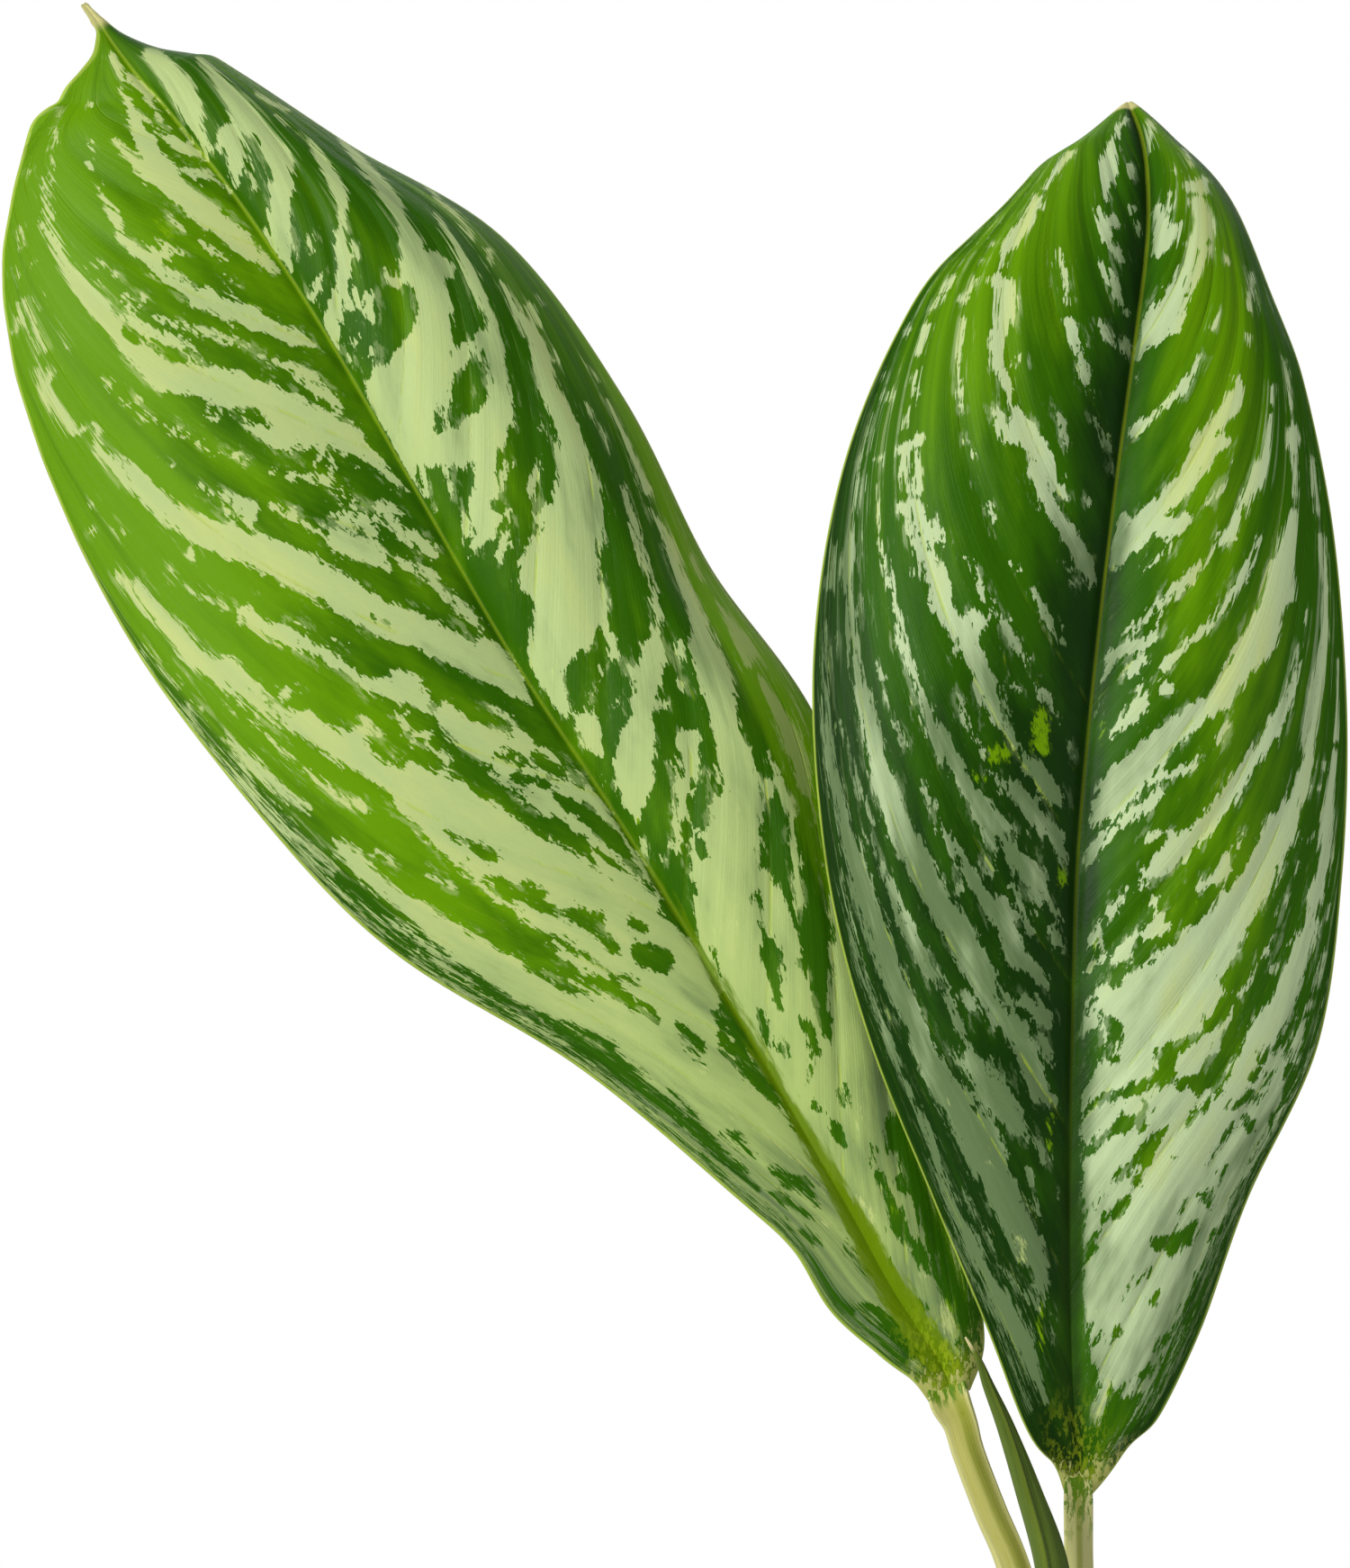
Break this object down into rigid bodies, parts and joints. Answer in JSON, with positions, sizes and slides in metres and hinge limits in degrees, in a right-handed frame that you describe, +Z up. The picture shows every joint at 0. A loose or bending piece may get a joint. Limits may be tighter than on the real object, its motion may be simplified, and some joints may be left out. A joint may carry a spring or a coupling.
{
  "type": "potted chinese evergreen",
  "caption": "Potted aroid house plant: variegated oval leaf blades on pale sheathed petioles and a furled new leaf rise from a short cane in a plain clay pot of soil",
  "frame": {"origin": "centre of the pot's flat base, on the surface that it stands on", "axes": "+Z up, along the cane; the leaves' upper faces look towards -Y; +X to the viewer's right"},
  "size_m": [0.2179, 0.146, 0.4347],
  "materials": {
    "clay": "matte",
    "soil": "matte",
    "cane": "satin",
    "petiole": "satin",
    "blade": "gloss",
    "furled_leaf": "satin"
  },
  "bodies": {
    "root": {"pot": "clay", "soil": "soil", "cane": "cane", "petiole_right": "petiole", "blade_right": "blade", "petiole_left": "petiole", "blade_left": "blade", "furled_leaf": "furled_leaf"}
  },
  "joints": []
}
